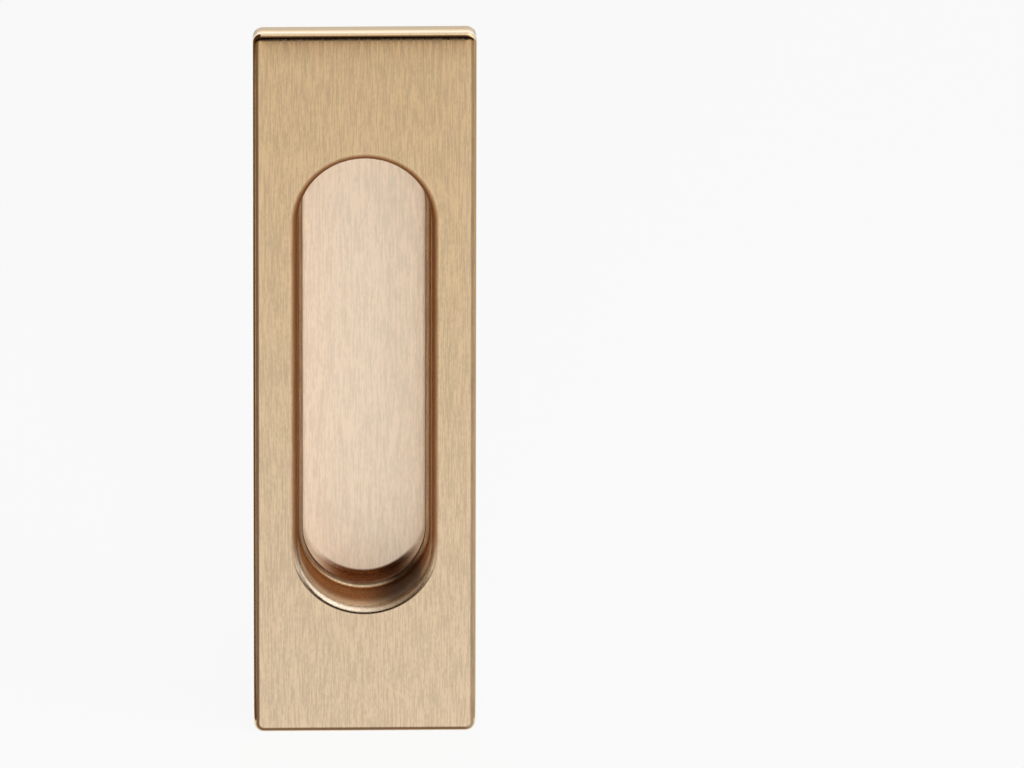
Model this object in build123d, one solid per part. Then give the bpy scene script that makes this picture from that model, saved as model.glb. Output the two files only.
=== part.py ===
from build123d import *
import os
from math import cos, radians, tan

os.makedirs("parts", exist_ok=True)

# A flush pull for a sliding door: a cast cover with an oval recess, a deeper cup behind its window, and
# a moulded frame that is screwed to the door and carries both.
# X runs across, Z up and Y into the door. The door's face is the plane y = 0, and the recess is centred
# on X and Z. All sizes are in millimetres.

# Cover
cover_width = 47.0
cover_height = 159.0
cover_proud = 4.5
cover_wall = 1.0
cover_corner_radius = 2.15
cover_edge_radius = 1.1

# Recess in the cover. Every ring of it is an oval about the same two end centres.
recess_side_margin = 7.65
recess_end_margin = 26.9
lip_radius = 1.75
recess_root_radius = 1.0
ledge_flat = 0.1
ledge_depth = 11.0

# Finger cup
cup_wall = 0.8
cup_clearance = 0.2
cup_depth = 16.5
cup_ledge_gap = 0.1
cup_floor_radius = 0.8
cup_back_bevel = 1.0
cup_rim_land = 3.0

# Mounting frame
frame_clearance = 0.25
frame_skin = 1.5
frame_wall = 1.5
frame_window_clearance = 0.5
cup_pocket_clearance = 0.25
collar_wall = 1.5
rib_thickness = 1.2
rib_spacing = 12.0
rib_setback = 0.3

# Fixing screws, with low heads
screw_radius = 1.75
screw_neck_radius = 1.3
screw_length = 20.0
screw_point_length = 2.0
screw_tip_radius = 0.5
screw_head_radius = 3.5
screw_head_height = 1.3
screw_sink = 0.3
screw_hole_clearance = 0.2
screw_seat_clearance = 0.3
screw_end_margin = 12.5
boss_wall = 1.2
drive_span = 3.6
drive_slot = 0.8
drive_depth = 0.9

# Cover clips
clip_length = 9.0
clip_width = 2.0
clip_strip = 0.3
clip_foot = 1.2
clip_slope = 31.0
clip_crown_radius = 2.5
clip_cover_gap = 0.05
clip_end_margin = 18.0
clip_pocket_clearance = 0.2
clip_housing_wall = 1.2

# Levels along Y
front = -cover_proud
frame_front = front + cover_wall
skin_back = frame_front + frame_skin
ledge_front = front + ledge_depth
ledge_back = ledge_front + cover_wall
cup_shoulder = ledge_back + cup_ledge_gap
cup_floor = front + cup_depth
cup_back = cup_floor + cup_wall
screw_head_front = frame_front + screw_sink
screw_seat = screw_head_front + screw_head_height
screw_tip = screw_head_front + screw_length

# Radii of the recess about its end centres, and the straight between those centres
lip_outer_radius = cover_width / 2 - recess_side_margin
wall_radius = lip_outer_radius - lip_radius
well_radius = wall_radius + cover_wall
window_radius = wall_radius - recess_root_radius - ledge_flat
oval_straight = cover_height - 2 * (recess_end_margin + lip_outer_radius)
cup_radius = well_radius + cup_clearance
cup_outer_radius = cup_radius + cup_wall
basin_outer_radius = window_radius + cup_wall
cup_rim_radius = cup_outer_radius + cup_rim_land
frame_window_radius = well_radius + frame_window_clearance
cup_pocket_radius = cup_rim_radius + cup_pocket_clearance
collar_radius = cup_pocket_radius + collar_wall

# Room inside the cover, and the frame that fills it
inner_width = cover_width - 2 * cover_wall
inner_height = cover_height - 2 * cover_wall
inner_corner_radius = max(cover_corner_radius - cover_wall, 0.2)
frame_width = inner_width - 2 * frame_clearance
frame_height = inner_height - 2 * frame_clearance
frame_corner_radius = max(inner_corner_radius - frame_clearance, 0.2)

# Screws, clips and the pockets that take them
screw_spacing_z = cover_height - 2 * screw_end_margin
screw_hole_radius = screw_radius + screw_hole_clearance
head_pocket_radius = screw_head_radius + screw_seat_clearance
boss_width = 2 * (head_pocket_radius + boss_wall)
clip_spacing_z = cover_height - 2 * clip_end_margin
clip_peak = (clip_length / 2 - clip_foot) * tan(radians(clip_slope))
clip_bow = clip_peak - clip_crown_radius * (1 / cos(radians(clip_slope)) - 1)
clip_pocket_floor = inner_width / 2 - clip_cover_gap - clip_strip - clip_bow
clip_middle = frame_front / 2


def prism(outline, y_from, y_to):
    return extrude(Plane.XZ.offset(-y_to) * outline, y_to - y_from)


def oval(radius):
    return SlotCenterToCenter(oval_straight, 2 * radius, rotation=90)


# Carries a half section, drawn with X as the radius and Y as the depth, once round the oval: straight
# along the sides, and turned at the ends.
def around_oval(section):
    low = Pos(0, 0, -oval_straight / 2) * section
    side = extrude(low, oval_straight, dir=(0, 0, 1))
    low_end = revolve(low, Axis((0, 0, -oval_straight / 2), (0, 1, 0)), 180)
    return side + mirror(side, Plane.YZ) + low_end + mirror(low_end, Plane.XY)


def rounded_front(outline, y_to, radius):
    block = prism(outline, front, y_to)
    return fillet(block.faces().sort_by(Axis.Y)[0].edges(), radius)


# The well's section is its lip, wall and ledge as they show, then the plain back of the casting
def build_cover_plate():
    shown = FilletPolyline(
        (lip_outer_radius + lip_radius, front),
        (wall_radius, front),
        (wall_radius, ledge_front),
        (window_radius, ledge_front),
        radius=[lip_radius, recess_root_radius],
    )
    back = Polyline(
        (window_radius, ledge_front),
        (window_radius, ledge_back),
        (well_radius, ledge_back),
        (well_radius, frame_front),
        (lip_outer_radius + lip_radius, frame_front),
        (lip_outer_radius + lip_radius, front),
    )
    well = around_oval(make_face([shown, back]))
    box = rounded_front(RectangleRounded(cover_width, cover_height, cover_corner_radius), 0, cover_edge_radius)
    room = prism(RectangleRounded(inner_width, inner_height, inner_corner_radius), frame_front, 0)
    return box - room - prism(oval(lip_outer_radius), front, 0) + well


# The cup steps in behind the ledge, so that its basin carries on from the window's edge
def build_finger_cup():
    basin = FilletPolyline(
        (window_radius, cup_shoulder), (window_radius, cup_floor), (0, cup_floor), radius=cup_floor_radius
    )
    rest = Polyline(
        (0, cup_floor),
        (0, cup_back),
        (basin_outer_radius - cup_back_bevel, cup_back),
        (basin_outer_radius, cup_back - cup_back_bevel),
        (basin_outer_radius, cup_shoulder + cup_wall),
        (cup_outer_radius, cup_shoulder + cup_wall),
        (cup_outer_radius, 0),
        (cup_rim_radius, 0),
        (cup_rim_radius, -cup_wall),
        (cup_radius, -cup_wall),
        (cup_radius, cup_shoulder),
        (window_radius, cup_shoulder),
    )
    return around_oval(make_face([basin, rest]))


# Heights of the screws, and side and height of each clip, from the top down
screw_heights = [screw_spacing_z / 2, -screw_spacing_z / 2]
clip_places = [(side, end * clip_spacing_z / 2) for end in (1, -1) for side in (-1, 1)]


# At each end one rib runs across through the screw's boss, and three run from the collar to the end wall
def build_frame_ribs():
    end_wall = frame_height / 2 - frame_wall / 2
    upright_height = end_wall - oval_straight / 2
    outlines = []
    for z in screw_heights:
        outlines.append(Pos(0, z) * Rectangle(frame_width - frame_wall, rib_thickness))
        middle = (end_wall - upright_height / 2) * (1 if z > 0 else -1)
        for x in (-rib_spacing, 0, rib_spacing):
            outlines.append(Pos(x, middle) * Rectangle(rib_thickness, upright_height))
    return [prism(outline, skin_back, -rib_setback) for outline in outlines]


def build_mounting_frame():
    outline = RectangleRounded(frame_width, frame_height, frame_corner_radius)
    inside = Rectangle(frame_width - 2 * frame_wall, frame_height - 2 * frame_wall)
    frame = prism(outline, frame_front, skin_back) + prism(outline - inside, skin_back, 0)
    frame += prism(oval(collar_radius) & outline, skin_back, 0)
    frame += build_frame_ribs()
    for z in screw_heights:
        frame += prism(Pos(0, z) * Rectangle(boss_width, boss_width), skin_back, 0)
    housing_width = frame_width / 2 - clip_pocket_floor + clip_housing_wall
    housing_length = clip_length + 2 * (clip_pocket_clearance + clip_housing_wall)
    for side, z in clip_places:
        housing_x = side * (frame_width / 2 - housing_width / 2)
        frame += prism(Pos(housing_x, z) * Rectangle(housing_width, housing_length), skin_back, 0)

    # The window passes the cover's well, and steps out at the back to seat the cup's rim
    frame -= prism(oval(frame_window_radius), frame_front, 0)
    frame -= prism(oval(cup_pocket_radius), -cup_wall, 0)

    pocket_depth = frame_width / 2 - clip_pocket_floor
    pocket_size = [clip_width + 2 * clip_pocket_clearance, clip_length + 2 * clip_pocket_clearance]
    for side, z in clip_places:
        pocket = Box(pocket_depth, *pocket_size)
        frame -= Pos(side * (clip_pocket_floor + pocket_depth / 2), clip_middle, z) * pocket
    for z in screw_heights:
        frame -= prism(Pos(0, z) * Circle(head_pocket_radius), frame_front, screw_seat)
        frame -= prism(Pos(0, z) * Circle(screw_hole_radius), screw_seat, 0)
    return frame


def build_fixing_screw():
    half_section = Polyline(
        (0, screw_head_front),
        (screw_head_radius, screw_head_front),
        (screw_head_radius, screw_seat),
        (screw_neck_radius, screw_seat),
        (screw_neck_radius, 0),
        (screw_radius, 0),
        (screw_radius, screw_tip - screw_point_length),
        (screw_tip_radius, screw_tip),
        (0, screw_tip),
        close=True,
    )
    cross = Rectangle(drive_span, drive_slot) + Rectangle(drive_slot, drive_span)
    drive = prism(cross, screw_head_front, screw_head_front + drive_depth)
    return revolve(make_face(half_section), Axis.Y) - drive


# A leaf spring: two flat feet on the pocket's floor, and a bow that stands out to the cover's wall
def build_cover_clip():
    foot_start = clip_length / 2
    foot_end = foot_start - clip_foot
    bow = FilletPolyline((0, foot_end), (clip_peak, 0), (0, -foot_end), radius=clip_crown_radius)
    strip_line = Line((0, foot_start), (0, foot_end)) + bow + Line((0, -foot_end), (0, -foot_start))
    strip = make_face(offset(strip_line, clip_strip, kind=Kind.INTERSECTION, side=Side.LEFT, closed=True))
    return prism(strip, clip_middle - clip_width / 2, clip_middle + clip_width / 2)


parts = {
    "cover_plate": build_cover_plate(),
    "finger_cup": build_finger_cup(),
    "mounting_frame": build_mounting_frame(),
}
for number, z in enumerate(screw_heights, 1):
    parts[f"fixing_screw_{number}"] = Pos(0, 0, z) * build_fixing_screw()
for number, (side, z) in enumerate(clip_places, 1):
    turn = 0 if side > 0 else 180
    parts[f"cover_clip_{number}"] = Pos(side * clip_pocket_floor, 0, z) * Rot(0, turn, 0) * build_cover_clip()

for name, solid in parts.items():
    export_step(solid, f"parts/{name}.step")
    print(name, len(solid.solids()), round(solid.volume, 1), solid.bounding_box())
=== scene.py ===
import math

import bmesh
import bpy
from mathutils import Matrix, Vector


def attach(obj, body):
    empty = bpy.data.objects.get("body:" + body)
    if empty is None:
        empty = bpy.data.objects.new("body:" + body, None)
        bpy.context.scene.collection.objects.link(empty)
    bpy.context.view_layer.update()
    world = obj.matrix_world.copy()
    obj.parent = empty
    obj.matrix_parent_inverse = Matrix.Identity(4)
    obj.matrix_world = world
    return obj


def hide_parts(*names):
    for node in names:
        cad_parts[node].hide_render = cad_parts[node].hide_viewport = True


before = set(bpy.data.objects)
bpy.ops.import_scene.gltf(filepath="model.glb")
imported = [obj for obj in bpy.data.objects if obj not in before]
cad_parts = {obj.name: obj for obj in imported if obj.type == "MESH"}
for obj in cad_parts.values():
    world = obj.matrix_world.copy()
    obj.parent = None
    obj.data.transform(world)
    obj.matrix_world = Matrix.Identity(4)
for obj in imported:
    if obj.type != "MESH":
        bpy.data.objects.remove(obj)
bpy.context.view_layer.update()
mm = 0.001


# A Value is one socket on a sheet of nodes, and plain arithmetic on it adds Math nodes.

class Value:
    def __init__(self, sheet, socket):
        self.sheet = sheet
        self.socket = socket

    def maths(self, operation, *terms):
        return self.sheet.add("ShaderNodeMath", {"operation": operation}, terms)

    def __add__(self, other):
        return self.maths("ADD", self, other)

    def __sub__(self, other):
        return self.maths("SUBTRACT", self, other)

    def __rsub__(self, other):
        return self.maths("SUBTRACT", other, self)

    def __mul__(self, other):
        return self.maths("MULTIPLY", self, other)

    def __truediv__(self, other):
        return self.maths("DIVIDE", self, other)

    def __rtruediv__(self, other):
        return self.maths("DIVIDE", other, self)

    def __pow__(self, other):
        return self.maths("POWER", self, other)

    def __rpow__(self, other):
        return self.maths("POWER", other, self)

    __radd__ = __add__
    __rmul__ = __mul__

    def atMost(self, other):
        return self.maths("MINIMUM", self, other)

    def atLeast(self, other):
        return self.maths("MAXIMUM", self, other)

    def held(self, low=0.0, high=1.0):
        return self.atLeast(low).atMost(high)

    def size(self):
        return self.maths("ABSOLUTE", self)

    def rise(self, start, end):      # 0 before start, 1 after end, eased between
        eased = {"interpolation_type": "SMOOTHSTEP"}
        return self.sheet.add("ShaderNodeMapRange", eased, [self, start, end, 0.0, 1.0])


class Sheet:
    def __init__(self, tree):
        self.tree = tree

    def add(self, kind, settings=None, given=(), out=0):
        node = self.tree.nodes.new(kind)
        for name, setting in (settings or {}).items():
            setattr(node, name, setting)
        pairs = given.items() if isinstance(given, dict) else enumerate(given)
        for key, item in pairs:
            if isinstance(item, Value):
                self.tree.links.new(item.socket, node.inputs[key])
            else:
                node.inputs[key].default_value = item
        return Value(self, node.outputs[out]) if len(node.outputs) else None

    def other(self, value, out):     # another output of the node that value comes from
        return Value(self, value.socket.node.outputs[out])

    def blend(self, share, first, second):
        first, second = (item if isinstance(item, Value) else (*item, 1.0) for item in (first, second))
        return self.add("ShaderNodeMix", {"data_type": "RGBA"}, {0: share, 6: first, 7: second}, out=2)

    def point(self, x, y, z):
        return self.add("ShaderNodeCombineXYZ", None, [x, y, z])

    def axes(self, vector):
        x = self.add("ShaderNodeSeparateXYZ", None, [vector])
        return x, self.other(x, 1), self.other(x, 2)

    def stretched(self, vector, x, y, z):
        return self.add("ShaderNodeVectorMath", {"operation": "MULTIPLY"}, [vector, (x, y, z)])

    def place(self):                 # Object coordinates, in metres
        return self.add("ShaderNodeTexCoord", None, out=3)

    def noise(self, place, scale, detail, more=()):
        given = {0: place, "Scale": scale, "Detail": detail, **dict(more)}
        return self.add("ShaderNodeTexNoise", None, given)


# Camera

camera = dict(
    lens=850.0,              # a long lens: the sides stay nearly parallel
    sensorWidth=36.0,
    clipStart=0.1,
    clipEnd=60.0,
    pixelsPerMm=4.732,
    azimuth=-1.0,
    elevation=22.0,
    centreX=364.5,           # where the middle of the door plane falls in the picture, in pixels
    centreY=377.2,
    pictureWidth=1024,
    pictureHeight=768,
)


def addCamera(c):
    data = bpy.data.cameras.new("camera")
    data.lens = c["lens"]
    data.sensor_width = c["sensorWidth"]
    data.clip_start = c["clipStart"]
    data.clip_end = c["clipEnd"]
    data.shift_x = (c["pictureWidth"] / 2 - c["centreX"]) / c["pictureWidth"]
    turn = math.radians(c["azimuth"])
    lift = math.radians(c["elevation"])
    back = Vector((math.sin(turn) * math.cos(lift), -math.cos(turn) * math.cos(lift), math.sin(lift)))
    distance = c["lens"] / c["sensorWidth"] * c["pictureWidth"] / c["pixelsPerMm"] * mm
    looker = bpy.data.objects.new("camera", data)
    bpy.context.scene.collection.objects.link(looker)
    up = Vector((0, 0, 1))
    drop = (c["pictureHeight"] / 2 - c["centreY"]) / c["pixelsPerMm"] * mm / math.cos(lift)
    looker.location = back * distance - up * drop
    looker.rotation_mode = "QUATERNION"
    looker.rotation_quaternion = (-back).to_track_quat("-Z", "Y")
    bpy.context.scene.camera = looker


addCamera(camera)
print("camera set")


# Materials

brass = dict(
    # painted shade and light: the plate is darker towards its top and lighter towards its bottom
    coverHigh=(0.72, 0.506, 0.276),      # the plate near its top, and near its bottom
    coverLow=(0.81, 0.62, 0.417),
    # painted light: the cup is lighter towards its bottom, where the recess shades off the light
    cupHigh=(0.90, 0.735, 0.56),
    cupLow=(0.95, 0.78, 0.60),
    well=(0.42, 0.14, 0.010),            # painted shade on the well's wall, speckled with half the colour
    # painted shade on the basin's wall and its foot, speckled like the well
    basin=(0.38, 0.12, 0.02),
    # painted shade on the lip at the top and the sides; the lip's speckle takes this colour too
    rolled=(0.27, 0.085, 0.010),
    # a dark joint at the window, and a painted dark reflection along the lip's outer edge at the bottom
    darkJointAndReflection=(0.12, 0.03, 0.004),
    # painted dark reflection along the plate's edge radius
    edge=(0.12, 0.045, 0.007),
    # painted deep shade low on the right of the well and the basin
    paintedDeepShade=(0.012, 0.003, 0.001),
    top=(0.30, 0.10, 0.0),               # painted shade: the plate darkens a little towards its top edge
    pale=(0.95, 0.86, 0.73),             # painted highlight on the plate's outer wall and on the lip at the bottom
    # painted shade on the back of the plate's outer wall
    rear=(0.30, 0.22, 0.115),
    toneSpan=130.0,                      # height over which the low colour turns into the high one, in mm
    grainDark=0.45,                      # the grain's dark lines, as a share of the low colour
    olive=((0.62, 0.55, 0.27), 0.10),    # drift of the hue, and how strong it is
    oliveFrom=(0.50, 0.75),
    pink=((0.82, 0.50, 0.42), 0.08),
    pinkUpTo=(0.28, 0.48),
    speckled=("well", "basin"),
    speckSpan=(0.40, 0.64),
    speckDark=0.5,
    noises=dict(
        # cells in a metre across the grain, cells in a metre along it, finer layers
        grain=(3300.0, 190.0, 0.0),
        nick=(2700.0, 850.0, 0.0),
        streak=(800.0, 70.0, 2.0),
        cloud=(240.0, 110.0, 2.0),
        hue=(800.0, 200.0, 2.0),
        speck=(2600.0, 2600.0, 1.0),
        scuff=(210.0, 260.0, 3.0),
    ),
    noiseRoughness=0.6,
    shading=dict(grain=2.3, nick=1.5, streak=0.7, cloud=1.3),        # how much each noise adds to the tone
    grainRough=0.14,                     # what each adds to the roughness
    streakRough=0.10,
    scuffRough=0.03,
    scuffSpan=(0.58, 0.72),
    blastedRough=0.26,
    turnedSmooth=0.12,
    roughRange=(0.10, 0.85),
    grainDepth=0.015 * mm,
    bumpStrength=0.4,
    streakHeight=0.4,
    speckHeight=3.0,
    blastedFlat=0.7,                     # how much of the grain's height blasting and turning take away
    turnedFlat=0.85,
    coat=0.3,
    coatRough=0.3,
    anisotropic=0.6,
)


def newMaterial(name):
    material = bpy.data.materials.new(name)
    material.use_nodes = True
    material.node_tree.nodes.clear()
    return material, Sheet(material.node_tree)


def finishMaterial(sheet, inputs):
    shader = sheet.add("ShaderNodeBsdfPrincipled", None, inputs)
    sheet.add("ShaderNodeOutputMaterial", None, [shader])


def ovalDistance(x, z, halfStraight):    # distance from the line between the recess's end centres
    beyond = (z.size() - halfStraight).atLeast(0.0)
    return (x * x + beyond * beyond) ** 0.5


def outlineInset(x, z, c):               # distance in from the plate's outline, near its edge
    beyondX = (x.size() - (c["width"] / 2 - c["cornerRadius"])).atLeast(0.0)
    beyondZ = (z.size() - (c["height"] / 2 - c["cornerRadius"])).atLeast(0.0)
    return c["cornerRadius"] - (beyondX * beyondX + beyondZ * beyondZ) ** 0.5


def within(fields, limits):
    # 1 inside all the limits and 0 outside them. A limit is a field, the side of it that counts, and the span
    # over which it fades.
    share = 1.0
    for field, side, start, end in limits:
        risen = fields[field].rise(start, end)
        share = share * (risen if side == "above" else 1.0 - risen)
    return share


def paint(sheet, colour, speck):
    full = brass[colour]
    if colour not in brass["speckled"]:
        return full
    dark = tuple(part * brass["speckDark"] for part in full)
    return sheet.blend(speck.rise(*brass["speckSpan"]), dark, full)


# Painted shade, dark reflections and highlights on the cover: the well's wall, the lip and the plate's edge
# are painted darker, and parts of the lip and the outer wall paler. Fields are in mm: x, y and z, reach from
# the recess's centre line, inset from the outline, and aside from the well's foot.

coverWear = dict(
    footX=-1.3,
    foot=[("aside", "below", 4.0, 8.5), ("z", "below", -46.0, -40.0)],
    onLedge=[("reach", "below", 13.65, 14.05)],
    ledgeBare=dict(wall=0.45, paintedDeepShade=0.1),      # share of the ledge left free of each painted shade, but at the foot all of it is
    # the painted dark reflection along the edge is paler on the right side
    rightSide=[("x", "above", 21.0, 22.6)],
    rightPaler=0.4,
    # the painted top shade grows from this height over this run
    topFrom=68.0,
    topRun=11.0,
    topPower=2.5,
    marks=[
        # what it is, how well it covers, its colour, its limits; later ones lie over earlier ones
        # painted shade towards the plate's top edge
        ("top", 0.42, "top", [("inset", "above", 0.3, 0.7)]),
        # painted shade on the lip, at the top and the sides only
        ("rolled", 0.82, "rolled", [
            ("reach", "below", 15.0, 15.8), ("z", "above", -44.0, -34.0), ("y", "below", -2.6, -1.6),
        ]),
        ("lip", 0.2, "rolled", [
            ("reach", "below", 15.4, 15.7), ("y", "below", -2.0, 0.0), ("speck", "above", 0.50, 0.66),
        ]),
        # painted shade on the well's wall
        ("wall", 0.93, "well", [("reach", "below", 14.15, 15.0), ("y", "above", -2.9, 1.2)]),
        # painted deep shade low on the right of the well
        ("paintedDeepShade", 0.85, "paintedDeepShade", [
            ("x", "above", -2.0, 7.0), ("x", "below", 12.5, 15.2), ("z", "below", -46.0, -41.0),
            ("reach", "below", 14.3, 15.3), ("y", "above", -4.4, -3.0),
        ]),
        ("window", 0.9, "darkJointAndReflection", [("reach", "below", 13.03, 13.15)]),
        # painted dark reflection on the plate's edge radius
        ("edge", 0.88, "edge", [
            ("inset", "above", 0.38, 0.52), ("inset", "below", 0.95, 1.3), ("y", "below", -3.9, -3.3),
        ]),
        # painted dark reflection along the lip's outer edge, at the bottom only
        ("rim", 0.8, "darkJointAndReflection", [
            ("reach", "above", 15.27, 15.35), ("reach", "below", 15.60, 15.70), ("z", "below", -46.0, -38.0),
        ]),
        # painted highlight, speckled, on the lip and the wall at the bottom
        ("worn", 0.6, "pale", [
            ("reach", "above", 13.9, 14.1), ("reach", "below", 15.15, 15.3), ("x", "below", -2.0, 7.0),
            ("y", "below", -3.6, -0.4), ("z", "below", -44.0, -36.0), ("speck", "above", 0.30, 0.55),
        ]),
        # painted shade on the back of the plate's outer wall
        ("rear", 0.85, "rear", [("inset", "below", 0.1, 0.3), ("y", "above", -2.7, -1.8)]),
        # painted highlight on the front of the plate's outer wall
        ("pale", 0.5, "pale", [("inset", "below", 0.1, 0.3), ("y", "below", -3.4, -2.6)]),
    ],
    blasted=[("reach", "below", 15.4, 15.7), ("y", "above", -4.48, -4.0)],
    turnedEdge=[("inset", "below", 1.5, 2.5)],
    turnedRim=[("reach", "above", 15.45, 15.65), ("reach", "below", 15.9, 16.4)],
)


def coverMarks(sheet, x, y, z, speck):
    w = coverWear
    reach, inset = ovalDistance(x, z, cover["halfStraight"]), outlineInset(x, z, cover)
    aside = (x - w["footX"]).size()
    fields = dict(x=x, y=y, z=z, reach=reach, inset=inset, aside=aside, speck=speck)
    foot, onLedge = within(fields, w["foot"]), within(fields, w["onLedge"])
    # the painted shade on the well's wall spares part of the ledge, and all of it at the foot; the painted
    # top shade grows upwards; the painted edge reflection is paler on the right
    also = {name: 1.0 - onLedge * (bare + foot * (1.0 - bare)) for name, bare in w["ledgeBare"].items()}
    also["top"] = ((z - w["topFrom"]) / w["topRun"]).held() ** w["topPower"]
    also["edge"] = 1.0 - within(fields, w["rightSide"]) * w["rightPaler"]
    spots = []
    for name, covers, colour, limits in w["marks"]:
        mark = within(fields, limits) * also.get(name, 1.0)
        spots.append((mark * covers, paint(sheet, colour, speck)))
    blasted = within(fields, w["blasted"])
    turned = within(fields, w["turnedEdge"]).atLeast(within(fields, w["turnedRim"]))
    return spots, blasted, turned


# Painted shade on the basin's wall and the turn at its foot, darkest low on the right

cupWear = dict(
    turnFrom=12.65,          # where the floor turns up into the wall, and how wide the turn's fade is
    turnWidth=0.7,
    endShift=0.8,            # the turn starts this much nearer at the ends, shifted over this height
    endRun=9.0,
    slant=0.15,              # the painted shade at the foot reaches higher on the right
    foot=[("slanted", "below", -49.3, -44.0)],
    aboveFoot=0.08,
    basin=[("reach", "below", 13.2, 13.5), ("y", "below", 12.05, 12.25)],
    covers=0.97,
    # painted deep shade on the right of the basin
    deepShaded=[("x", "above", 0.5, 7.0)],
    deepShadeCovers=0.75,
)


def cupMarks(sheet, x, y, z, speck):
    w = cupWear
    reach = ovalDistance(x, z, cover["halfStraight"])
    fields = dict(x=x, y=y, reach=reach, slanted=z - x.atLeast(0.0) * w["slant"])
    start = w["turnFrom"] - ((z.size() - cover["halfStraight"]) / w["endRun"]).held() * w["endShift"]
    foot = w["aboveFoot"] + within(fields, w["foot"]) * (1.0 - w["aboveFoot"])
    # painted shade on the basin's wall and its foot, with deeper painted shade on the right
    wall = reach.rise(start, start + w["turnWidth"]) * within(fields, w["basin"]) * foot
    deepShaded = wall * within(fields, w["deepShaded"]) * w["deepShadeCovers"]
    return [(wall * w["covers"], paint(sheet, "basin", speck)), (deepShaded, brass["paintedDeepShade"])], wall, None


def brushedBrass(name, high, low, roughness, metallic, grainShare, marks):
    b = brass
    material, sheet = newMaterial(name)
    place = sheet.place()
    x, y, z = (axis / mm for axis in sheet.axes(place))
    noise = {}
    for kind, (across, along, detail) in b["noises"].items():
        noise[kind] = sheet.noise(
            sheet.stretched(place, across, across, along), 1.0, detail, {"Roughness": b["noiseRoughness"]}
        )
    grain, streak, hue, speck = noise["grain"], noise["streak"], noise["hue"], noise["speck"]

    shade = 0.5
    for kind, share in b["shading"].items():
        shade = shade + (noise[kind] - 0.5) * share
    # painted shade and light: the tone runs from the low colour at the bottom to the high one at the top
    tone = sheet.blend((z / b["toneSpan"] + 0.5).held(), low, high)
    tone = sheet.blend(shade.held() * grainShare, tone, tuple(part * b["grainDark"] for part in low))
    tone = sheet.blend(hue.rise(*b["oliveFrom"]) * b["olive"][1], tone, b["olive"][0])
    tone = sheet.blend((1.0 - hue.rise(*b["pinkUpTo"])) * b["pink"][1], tone, b["pink"][0])
    # the marks add painted shade, highlights and dark reflections, as well as speckle and joints
    spots, blasted, turned = marks(sheet, x, y, z, speck)
    for share, colour in spots:
        tone = sheet.blend(share, tone, colour)

    rough = roughness + (grain - 0.5) * b["grainRough"] + (streak - 0.5) * b["streakRough"]
    rough = rough + noise["scuff"].rise(*b["scuffSpan"]) * b["scuffRough"] + blasted * b["blastedRough"]
    height = (grain + streak * b["streakHeight"]) * (1.0 - blasted * b["blastedFlat"])
    height = height + speck * blasted * b["speckHeight"]
    if turned:
        rough = rough - turned * b["turnedSmooth"]
        height = height * (1.0 - turned * b["turnedFlat"])
    metal = metallic if metallic == 1.0 else metallic + blasted * (1.0 - metallic)
    bump = sheet.add(
        "ShaderNodeBump", None, {"Strength": b["bumpStrength"], "Distance": b["grainDepth"], "Height": height}
    )
    finishMaterial(sheet, {
        "Base Color": tone, "Metallic": metal, "Roughness": rough.held(*b["roughRange"]), "Normal": bump,
        "Coat Weight": (1.0 - blasted) * b["coat"], "Coat Roughness": b["coatRough"],
        "Anisotropic": b["anisotropic"],
    })
    return material


nylon = dict(
    dark=(0.030, 0.030, 0.033),
    pale=(0.062, 0.061, 0.064),
    texture=(2400.0, 3.0),   # noise cells in a metre, finer layers: the mould's texture, and the melt's flow
    flow=(90.0, 2.0),
    flowSwirl=0.6,
    roughness=0.46,
    textureRough=0.3,
    flowRough=0.2,
    textureDepth=0.03 * mm,
    bumpStrength=0.3,
)


def mouldedNylon(c):
    material, sheet = newMaterial("mouldedNylon")
    place = sheet.place()
    fine = sheet.noise(place, *c["texture"])
    flow = sheet.noise(place, *c["flow"], {"Distortion": c["flowSwirl"]})
    tone = sheet.blend((fine * 0.5 + flow * 0.5).held(), c["dark"], c["pale"])
    rough = c["roughness"] + (fine - 0.5) * c["textureRough"] + (flow - 0.5) * c["flowRough"]
    bump = sheet.add(
        "ShaderNodeBump", None, {"Strength": c["bumpStrength"], "Distance": c["textureDepth"], "Height": fine}
    )
    finishMaterial(sheet, {"Base Color": tone, "Roughness": rough, "Normal": bump})
    return material


steel = dict(
    screw=dict(bright=(0.72, 0.73, 0.74), dull=(0.50, 0.51, 0.53), roughness=0.28),
    clip=dict(bright=(0.56, 0.56, 0.57), dull=(0.40, 0.40, 0.42), roughness=0.3),
    fine=(1800.0, 4.0),      # noise cells in a metre, finer layers: pores, and patches of the plating
    patches=(260.0, 2.0),
    share=0.6,               # of each noise in the tone, which is lowered a little
    lowered=0.1,
    patchRough=0.2,
    poreDepth=0.01 * mm,
    bumpStrength=0.25,
)


def platedSteel(name, look, c):
    material, sheet = newMaterial(name)
    place = sheet.place()
    fine = sheet.noise(place, *c["fine"])
    patches = sheet.noise(place, *c["patches"])
    shade = (fine * c["share"] + patches * c["share"] - c["lowered"]).held()
    rough = look["roughness"] + (patches - 0.5) * c["patchRough"]
    bump = sheet.add(
        "ShaderNodeBump", None, {"Strength": c["bumpStrength"], "Distance": c["poreDepth"], "Height": fine}
    )
    finishMaterial(sheet, {
        "Base Color": sheet.blend(shade, look["dull"], look["bright"]), "Metallic": 1.0, "Roughness": rough,
        "Normal": bump,
    })
    return material


# Cover: the section is carried once round, from the window's edge out over the lip and the face to the rim,
# and back inside. Points inside the lip follow the oval, and points outside it the plate's outline.

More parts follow.
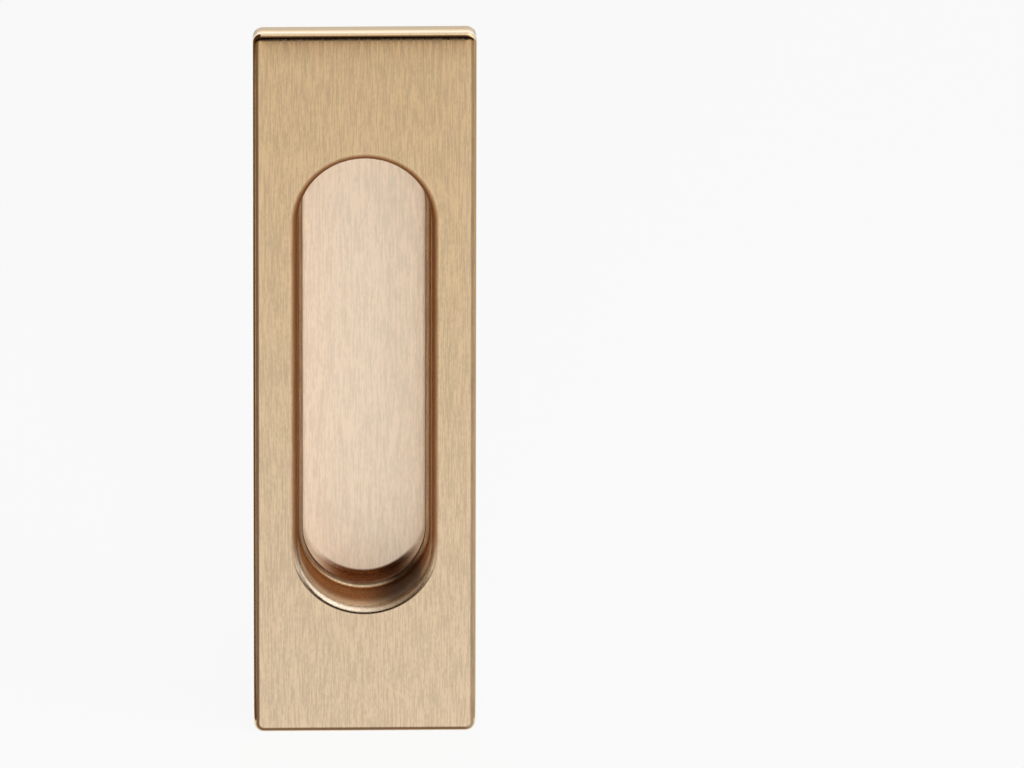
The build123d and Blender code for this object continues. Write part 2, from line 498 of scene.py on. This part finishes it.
cover = dict(
    width=47.0,
    height=159.0,
    proud=4.5,
    wall=1.0,
    cornerRadius=2.15,
    innerCorner=0.3,         # the corner's least radius, well inside the edge
    edgeRadius=0.95,
    rimBreak=0.12,           # broken edges: at the rim, at the window, and inside the casting
    windowBreak=0.08,
    castBreak=0.3,
    ledgeBreak=0.25,
    easeInset=5.2,           # the face starts to turn over this far in from the edge
    easeSlope=7.0,           # degrees, where the edge radius takes over
    easeStart=0.3,           # share of that slope gained evenly, the rest comes late
    easePower=5,
    easeSpacing=0.7,
    easeSteps=14,
    halfStraight=36.75,
    wallRadius=14.1,
    lipRadius=1.75,
    rootRadius=1.0,
    windowRadius=13.0,
    ledgeDepth=11.0,
    guard=0.1,               # a ring this far along a flat keeps the shading flat
    sideSteps=20,
    turnSteps=22,            # round each end, on the side, the corner and the end of the outline
    cornerSteps=10,
    arcSteps=14,
)


def arc(centre, radius, start, end, steps):
    turns = [math.radians(start + (end - start) * step / steps) for step in range(steps + 1)]
    return [(centre[0] + radius * math.cos(turn), centre[1] + radius * math.sin(turn)) for turn in turns]


def coverSection(c):
    front, guard = -c["proud"], c["guard"]
    ledge = front + c["ledgeDepth"]
    lipStart = c["wallRadius"] + c["lipRadius"]
    well = c["wallRadius"] + c["wall"]
    root = (c["wallRadius"] - c["rootRadius"], ledge - c["rootRadius"])
    window = c["windowRadius"]
    onOval = [(window, ledge + c["windowBreak"]), (window + c["windowBreak"], ledge)]
    onOval += arc(root, c["rootRadius"], 90, 0, c["arcSteps"])
    onOval += [(c["wallRadius"], root[1] - guard), (c["wallRadius"], front + c["lipRadius"] + guard)]
    onOval += arc((lipStart, front + c["lipRadius"]), c["lipRadius"], 180, 270, c["arcSteps"])
    onOval += [(lipStart + guard, front)]

    # the face eases back towards the edge radius
    slope, radius, late = c["easeSlope"], c["edgeRadius"], 1.0 - c["easeStart"]
    run = c["easeInset"] - radius * (1 - math.sin(math.radians(slope)))
    shares = [(step / c["easeSteps"]) ** c["easeSpacing"] for step in range(c["easeSteps"] + 1)]
    onOutline = [(c["easeInset"] + guard / 2, front), (c["easeInset"], front)]
    sag = 0.0
    for last, share in zip(shares, shares[1:]):
        middle = (share + last) / 2
        leaning = slope * (c["easeStart"] * middle + late * middle ** c["easePower"])
        sag += run * (share - last) * math.tan(math.radians(leaning))
        onOutline.append((c["easeInset"] - run * share, front + sag))
    centre = front + sag + radius * math.cos(math.radians(slope))
    onOutline += arc((radius, centre), radius, 270 - slope, 180, c["arcSteps"])[1:]
    rim, wall = c["rimBreak"], c["wall"]
    onOutline += [(0.0, centre + guard), (0.0, -rim), (rim, 0.0), (wall - rim, 0.0), (wall, -rim)]
    onOutline += [(wall, front + wall)]

    back = [(well + c["castBreak"], front + wall), (well, front + wall + c["castBreak"])]
    back += [(well, ledge + wall - c["ledgeBreak"]), (well - c["ledgeBreak"], ledge + wall)]
    back += [(window, ledge + wall)]
    rings = (("oval", onOval), ("outline", onOutline), ("oval", back))
    return [(kind, *point) for kind, ring in rings for point in ring]


def coverStations(c):
    # For a quarter of the way round, from the middle of the right side to the middle of the top: the turn
    # about the end centre, and where the outline is at any inset
    halfWidth, halfHeight = c["width"] / 2, c["height"] / 2
    straight, corner = c["halfStraight"], c["cornerRadius"]
    sideTop = halfHeight - corner
    sideSteps, endSteps = c["sideSteps"] // 2, c["turnSteps"] // 2
    quarter = []
    for step in range(sideSteps):
        z = straight * step / sideSteps
        quarter.append((0.0, z, ("side", z)))
    for step in range(c["turnSteps"]):
        turn = math.atan2(sideTop - straight, halfWidth) * step / c["turnSteps"]
        quarter.append((turn, straight, ("side", straight + halfWidth * math.tan(turn))))
    for step in range(c["cornerSteps"] + 1):
        bend = math.pi / 2 * step / c["cornerSteps"]
        x = halfWidth - corner + corner * math.cos(bend)
        z = sideTop + corner * math.sin(bend)
        quarter.append((math.atan2(z - straight, x), straight, ("corner", bend)))
    first = quarter[-1][0]
    for step in range(1, endSteps):
        turn = first + (math.pi / 2 - first) * step / endSteps
        quarter.append((turn, straight, ("end", (halfHeight - straight) / math.tan(turn))))
    quarter.append((math.pi / 2, straight, ("end", 0.0)))
    stations = [(*place, 1, 1) for place in quarter]
    stations += [(*place, -1, 1) for place in reversed(quarter[:-1])]
    stations += [(*place, -1, -1) for place in quarter[1:]]
    stations += [(*place, 1, -1) for place in reversed(quarter[1:-1])]
    return stations


def coverPoint(c, station, point):
    turn, centre, (part, along), signX, signZ = station
    kind, across, depth = point
    halfWidth, halfHeight, corner = c["width"] / 2, c["height"] / 2, c["cornerRadius"]
    small = max(corner - across, c["innerCorner"])
    middleX, middleZ = halfWidth - across - small, halfHeight - across - small
    if kind == "oval":
        x, z = across * math.cos(turn), centre + across * math.sin(turn)
    elif part == "side":
        straight = c["halfStraight"]
        above = max(along - straight, 0.0) / (halfHeight - corner - straight)
        x, z = halfWidth - across, min(along, straight) + above * (middleZ - straight)
    elif part == "end":
        x, z = along * middleX / (halfWidth - corner), halfHeight - across
    else:
        x, z = middleX + small * math.cos(along), middleZ + small * math.sin(along)
    return Vector((signX * x, depth, signZ * z)) * mm


meshing = dict(
    sharp=30.0,              # degrees, above which an edge is shaded sharp
    merge=0.0005 * mm,       # points nearer than this become one
)


def meshPiece(name, mesh, material):
    mesh.materials.clear()
    mesh.materials.append(material)
    mesh.polygons.foreach_set("use_smooth", [True] * len(mesh.polygons))
    mesh.set_sharp_from_angle(angle=math.radians(meshing["sharp"]))
    piece = bpy.data.objects.new(name, mesh)
    bpy.context.scene.collection.objects.link(piece)
    return piece


def tidyMesh(mesh):
    shape = bmesh.new()
    shape.from_mesh(mesh)
    bmesh.ops.remove_doubles(shape, verts=shape.verts, dist=meshing["merge"])
    bmesh.ops.dissolve_degenerate(shape, edges=shape.edges, dist=meshing["merge"])
    bmesh.ops.recalc_face_normals(shape, faces=shape.faces)
    loose = sum(not edge.is_manifold for edge in shape.edges)
    volume = round(shape.calc_volume() / mm ** 3, 1)
    print(mesh.name, "faces", len(shape.faces), "open edges", loose, "volume mm3", volume)
    shape.to_mesh(mesh)
    shape.free()


def makeCover(c, material):
    section = coverSection(c)
    stations = coverStations(c)
    points = [coverPoint(c, station, point) for station in stations for point in section]
    row = len(section)
    faces = []
    for i in range(len(stations)):
        for j in range(row):
            nextI, nextJ = (i + 1) % len(stations), (j + 1) % row
            faces.append((i * row + j, i * row + nextJ, nextI * row + nextJ, nextI * row + j))
    mesh = bpy.data.meshes.new("coverPlate")
    mesh.from_pydata(points, [], faces)
    tidyMesh(mesh)
    return meshPiece("coverPlate", mesh, material)


coverBrass = brushedBrass(
    "coverBrass", brass["coverHigh"], brass["coverLow"],
    roughness=0.27, metallic=1.0, grainShare=0.34, marks=coverMarks,
)
coverPlate = makeCover(cover, coverBrass)
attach(coverPlate, "root")
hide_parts("cover_plate")
print("cover made")


# Geometry Nodes: a half section, drawn with X as the radius and Y as the depth, is carried round an oval.
# With no straight it is a turned part, and a thread is raised on it between two depths.

def startTree(name, numbers):
    tree = bpy.data.node_groups.new(name, "GeometryNodeTree")
    tree.interface.new_socket("Geometry", in_out="INPUT", socket_type="NodeSocketGeometry")
    for label, (kind, value) in numbers.items():
        socket = tree.interface.new_socket(label, in_out="INPUT", socket_type=kind)
        if value is not None:
            socket.default_value = value
    tree.interface.new_socket("Geometry", in_out="OUTPUT", socket_type="NodeSocketGeometry")
    sheet = Sheet(tree)
    start = tree.nodes.new("NodeGroupInput")
    return tree, sheet, {socket.name: Value(sheet, socket) for socket in start.outputs if socket.name}


def runTree(name, tree, section, values):
    # The section goes in as a chain of edges, and a plain mesh comes out
    mesh = bpy.data.meshes.new(name + "Section")
    points = [(across * mm, depth * mm, 0) for across, depth in section]
    mesh.from_pydata(points, [(i, i + 1) for i in range(len(points) - 1)], [])
    carrier = bpy.data.objects.new(name + "Section", mesh)
    bpy.context.scene.collection.objects.link(carrier)
    modifier = carrier.modifiers.new("carried", "NODES")
    modifier.node_group = tree
    for item in tree.interface.items_tree:
        if item.in_out == "INPUT" and item.name in values:
            modifier[item.identifier] = values[item.name]
    made = bpy.data.meshes.new_from_object(carrier.evaluated_get(bpy.context.evaluated_depsgraph_get()))
    made.name = name
    bpy.data.objects.remove(carrier)
    return made


def ovalTree():
    # An input that isn't given stays as it is here: no straight, and no thread
    tree, sheet, given = startTree("carriedRoundOval", {
        "Half Straight": ("NodeSocketFloat", 0.0),
        "Stations": ("NodeSocketInt", 192),
        "Height": ("NodeSocketFloat", 0.0),
        "Thread Start": ("NodeSocketFloat", 1.0),
        "Thread End": ("NodeSocketFloat", 2.0),
        "Thread Pitch": ("NodeSocketFloat", 0.0014),
        "Thread Depth": ("NodeSocketFloat", 0.0),
        "Material": ("NodeSocketMaterial", None),
    })
    position = sheet.add("GeometryNodeInputPosition")
    section = sheet.add("GeometryNodeMeshToCurve", None, {"Mesh": given["Geometry"]})
    ofVectors = {"data_type": "FLOAT_VECTOR"}
    stored = {0: section, "Name": "section", 3: position}
    section = sheet.add("GeometryNodeStoreNamedAttribute", ofVectors, stored)
    path = sheet.add("GeometryNodeCurvePrimitiveLine", None, {"Start": (0, 0, 0), "End": (0, 0, 1)})
    path = sheet.add("GeometryNodeResampleCurve", None, {0: path, "Count": given["Stations"] + 1})
    along = sheet.add("GeometryNodeSplineParameter")
    path = sheet.add("GeometryNodeStoreNamedAttribute", None, {0: path, "Name": "round", 3: along})
    skin = sheet.add("GeometryNodeCurveToMesh", None, {"Curve": path, "Profile Curve": section})

    drawn = sheet.add("GeometryNodeInputNamedAttribute", ofVectors, {"Name": "section"})
    radius, depth = sheet.axes(drawn)[:2]
    quarter = sheet.add("GeometryNodeInputNamedAttribute", None, {"Name": "round"}) * 4.0
    angle = (quarter - 1.0).held() * math.pi + (quarter - 3.0).held() * math.pi
    centre = (quarter.held() - (quarter - 2.0).held() - 0.5) * given["Half Straight"] * 2.0

    # The ridge is 1 on a crest and 0 midway between two, and a third of the pitch stays flat
    turnsIn = (depth - given["Thread Start"]) / given["Thread Pitch"] - angle / (2 * math.pi)
    ridge = 1.0 - (turnsIn.maths("FRACT", turnsIn) * 2.0 - 1.0).size()
    fade = depth.rise(given["Thread Start"], given["Thread Start"] + given["Thread Pitch"])
    fade = fade * (1.0 - depth.rise(given["Thread End"] - given["Thread Pitch"], given["Thread End"]))
    radius = radius + (ridge * 1.5 - 0.5).held() * fade * given["Thread Depth"]

    x = radius * angle.maths("COSINE", angle)
    z = radius * angle.maths("SINE", angle) + centre + given["Height"]
    carried = sheet.point(x, depth, z)
    skin = sheet.add("GeometryNodeSetPosition", None, {"Geometry": skin, "Position": carried})
    skin = sheet.add("GeometryNodeMergeByDistance", None, {"Geometry": skin, "Distance": meshing["merge"]})
    for name in ("section", "round"):
        skin = sheet.add("GeometryNodeRemoveAttribute", None, {"Geometry": skin, "Name": name})
    skin = sheet.add("GeometryNodeRealizeInstances", None, {"Geometry": skin})
    skin = sheet.add("GeometryNodeSetMaterial", None, {"Geometry": skin, "Material": given["Material"]})
    sheet.add("NodeGroupOutput", None, [skin])
    return tree


carriedRoundOval = ovalTree()

# Finger cup

cup = dict(
    radius=15.3,
    shoulder=7.6,
    basinRadius=13.0,
    floor=12.0,
    floorRadius=0.8,
    wall=0.8,
    backRadius=1.4,
    rim=19.1,
    guard=0.1,               # broken edges, and rings that keep a flat's shading flat
    windowBreak=0.08,
    rearBreak=0.3,
    shoulderBreak=0.35,
    stations=224,
    arcSteps=10,
)


def cupSection(c):
    floor, wall, shoulder, radius, basin, rim = (
        c[name] for name in ("floor", "wall", "shoulder", "radius", "basinRadius", "rim")
    )
    guard, foot, rear = c["guard"], c["floorRadius"], c["rearBreak"]
    outer, basinOuter, back = radius + wall, basin + wall, floor + wall
    points = [(0.0, floor), (basin - foot - guard, floor)]
    points += arc((basin - foot, floor - foot), foot, 90, 0, c["arcSteps"])
    points += [(basin, floor - foot - guard), (basin, shoulder + c["windowBreak"])]
    points += [(basin + c["windowBreak"], shoulder), (radius - guard, shoulder), (radius, shoulder - guard)]
    points += [(radius, guard - wall), (radius + guard, -wall)]
    points += [(rim - guard, -wall), (rim, guard - wall), (rim, -guard), (rim - guard, 0.0)]
    points += [(outer + rear, 0.0), (outer, rear)]
    points += [(outer, shoulder + wall - c["shoulderBreak"]), (outer - c["shoulderBreak"], shoulder + wall)]
    points += [(basinOuter + rear, shoulder + wall), (basinOuter, shoulder + wall + rear)]
    centre = (basinOuter - c["backRadius"], back - c["backRadius"])
    points += arc(centre, c["backRadius"], 0, 90, c["arcSteps"])
    return points + [(centre[0] - guard, back), (0.0, back)]


cupBrass = brushedBrass(
    "cupBrass", brass["cupHigh"], brass["cupLow"],
    roughness=0.5, metallic=0.12, grainShare=0.22, marks=cupMarks,
)
cupMesh = runTree(
    "fingerCup", carriedRoundOval, cupSection(cup),
    {"Half Straight": cover["halfStraight"] * mm, "Stations": cup["stations"], "Material": cupBrass},
)
tidyMesh(cupMesh)
fingerCup = meshPiece("fingerCup", cupMesh, cupBrass)
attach(fingerCup, "root")
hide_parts("finger_cup")
print("cup made")

# Fixing screws

screw = dict(
    heights=(67.0, -67.0),
    headFront=-3.2,
    headRadius=3.5,
    headHeight=1.3,
    headRound=((0.6, 0.0), (0.25, 0.12), (0.0, 0.45)),       # in from the head's radius, back from its front
    seatBreak=0.15,
    neckFillet=0.2,
    neckRadius=1.3,
    neckEnd=-0.1,
    coreRadius=1.22,
    threadStart=0.1,
    threadEnd=15.2,
    threadPitch=1.35,
    threadDepth=0.53,
    length=20.0,
    pointLength=2.6,
    tipRadius=0.12,
    tipPower=1.4,
    tipSteps=8,
    stations=48,
    rowsPerTurn=10,
)


def screwSection(c):
    front, head, core = c["headFront"], c["headRadius"], c["coreRadius"]
    seat = front + c["headHeight"]
    tip = front + c["length"]
    point = tip - c["pointLength"]
    points = [(0.0, front)] + [(head - inward, front + back) for inward, back in c["headRound"]]
    points += [(head, seat - c["seatBreak"]), (head - c["seatBreak"], seat)]
    points += [(c["neckRadius"] + c["neckFillet"], seat), (c["neckRadius"], seat + c["neckFillet"])]
    points += [(c["neckRadius"], c["neckEnd"])]
    rows = int(point / c["threadPitch"] * c["rowsPerTurn"])
    points += [(core, point * row / rows) for row in range(rows + 1)]
    for row in range(1, c["tipSteps"] + 1):
        share = row / c["tipSteps"]
        taper = (c["tipRadius"] - core) * share ** c["tipPower"]
        points.append((core + taper, point + c["pointLength"] * share))
    return points + [(0.0, tip)]


screwSteel = platedSteel("screwSteel", steel["screw"], steel)
for number, height in enumerate(screw["heights"], 1):
    name = f"fixingScrew{number}"
    screwMesh = runTree(name, carriedRoundOval, screwSection(screw), {
        "Stations": screw["stations"],
        "Height": height * mm,
        "Thread Start": screw["threadStart"] * mm,
        "Thread End": screw["threadEnd"] * mm,
        "Thread Pitch": screw["threadPitch"] * mm,
        "Thread Depth": screw["threadDepth"] * mm,
        "Material": screwSteel,
    })
    tidyMesh(screwMesh)
    piece = meshPiece(name, screwMesh, screwSteel)
    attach(piece, "root")
    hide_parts(f"fixing_screw_{number}")
print("screws made")

# Frame and clips keep their own solids

frameNylon = mouldedNylon(nylon)
springSteel = platedSteel("springSteel", steel["clip"], steel)
kept = {"mounting_frame": frameNylon, **{f"cover_clip_{number}": springSteel for number in (1, 2, 3, 4)}}
for node, material in kept.items():
    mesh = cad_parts[node].data
    mesh.materials.clear()
    mesh.materials.append(material)
print("frame and clips finished")


# Studio: a pale floor, soft lamps, and cards that only reflections see

studio = dict(
    white=(1.0, 1.0, 1.0),
    floorDrop=79.55,         # just under the cover, which stands on it
    floorHalf=9.0,
    floorShows=0.9,
    worldLight=0.22,
    lamps=(
        # name, where it stands, its size, its power, whether reflections see it
        ("key", (0.75, -0.60, 0.95), 1.3, 5.2, True),
        ("fill", (0.05, -1.75, 0.30), 0.8, 18.8, False),
        ("back", (0.10, 1.40, 0.80), 1.6, 3.0, True),
    ),
    cards=(
        # name, colour, then the four corners' X, Y and Z
        ("front", (0.02, 0.012, 0.008), (
            (-1.0, -0.65, -0.079), (1.0, -0.65, -0.079), (1.0, -0.65, 0.20), (-1.0, -0.65, 0.20),
        )),
        ("right", (0.62, 0.52, 0.36), (
            (0.028, -0.008, -0.079), (0.028, 0.25, -0.079), (0.20, 0.25, 0.05), (0.20, -0.06, 0.05),
        )),
        ("left", (0.16, 0.08, 0.02), (
            (-0.028, -0.008, -0.079), (-0.028, 0.25, -0.079), (-0.20, 0.25, 0.05), (-0.20, -0.06, 0.05),
        )),
        ("high", (0.08, 0.04, 0.015), (
            (-0.20, -0.50, 0.0), (-0.20, 0.25, 0.0), (-0.20, 0.25, 0.55), (-0.20, -0.50, 0.55),
        )),
    ),
)
lightPathOutputs = dict(camera=0, glossy=3, transmission=6)


def seenStraight(sheet):
    # 1 for what the camera, reflections and glass look at, 0 for light that falls on other things
    path = sheet.add("ShaderNodeLightPath", None, out=lightPathOutputs["camera"])
    glossy = sheet.other(path, lightPathOutputs["glossy"])
    return (path + glossy + sheet.other(path, lightPathOutputs["transmission"])).atMost(1.0)


def plainMaterial(name, colour, shows):
    # shows is how much of the colour the camera and reflections see as it is, whatever light falls on it
    material, sheet = newMaterial(name)
    seen = seenStraight(sheet) * shows
    matt = sheet.add("ShaderNodeBsdfDiffuse", None, {"Color": (*colour, 1.0)})
    plain = sheet.add("ShaderNodeEmission", None, {"Color": (*colour, 1.0), "Strength": 1.0})
    both = sheet.add("ShaderNodeMixShader", None, [seen, matt, plain])
    sheet.add("ShaderNodeOutputMaterial", None, [both])
    return material


def addQuad(name, corners, material):
    mesh = bpy.data.meshes.new(name)
    mesh.from_pydata(corners, [], [(0, 1, 2, 3)])
    mesh.materials.append(material)
    quad = bpy.data.objects.new(name, mesh)
    bpy.context.scene.collection.objects.link(quad)
    return quad


def addLamp(name, place, size, power, inReflections):
    lamp = bpy.data.lights.new(name, "AREA")
    lamp.size = size
    lamp.energy = power
    holder = bpy.data.objects.new(name, lamp)
    holder.location = place
    holder.rotation_mode = "QUATERNION"
    holder.rotation_quaternion = (-Vector(place)).to_track_quat("-Z", "Y")
    holder.visible_glossy = inReflections
    bpy.context.scene.collection.objects.link(holder)


def addStudio(s):
    half, low = s["floorHalf"], -s["floorDrop"] * mm
    corners = [(-half, -half, low), (half, -half, low), (half, half, low), (-half, half, low)]
    addQuad("floor", corners, plainMaterial("paleFloor", s["white"], s["floorShows"]))
    for name, colour, corners in s["cards"]:
        card = addQuad(f"{name}Card", corners, plainMaterial(f"{name}Card", colour, 1.0))
        card.visible_camera = card.visible_diffuse = card.visible_shadow = False
    for lamp in s["lamps"]:
        addLamp(*lamp)

    world = bpy.data.worlds.new("studio")
    world.use_nodes = True
    world.node_tree.nodes.clear()
    sheet = Sheet(world.node_tree)
    strength = s["worldLight"] + seenStraight(sheet) * (1.0 - s["worldLight"])
    sky = sheet.add("ShaderNodeBackground", None, {"Color": (*s["white"], 1.0), "Strength": strength})
    sheet.add("ShaderNodeOutputWorld", None, [sky])
    bpy.context.scene.world = world
    bpy.context.scene.view_settings.view_transform = "Standard"


addStudio(studio)
print("studio set")
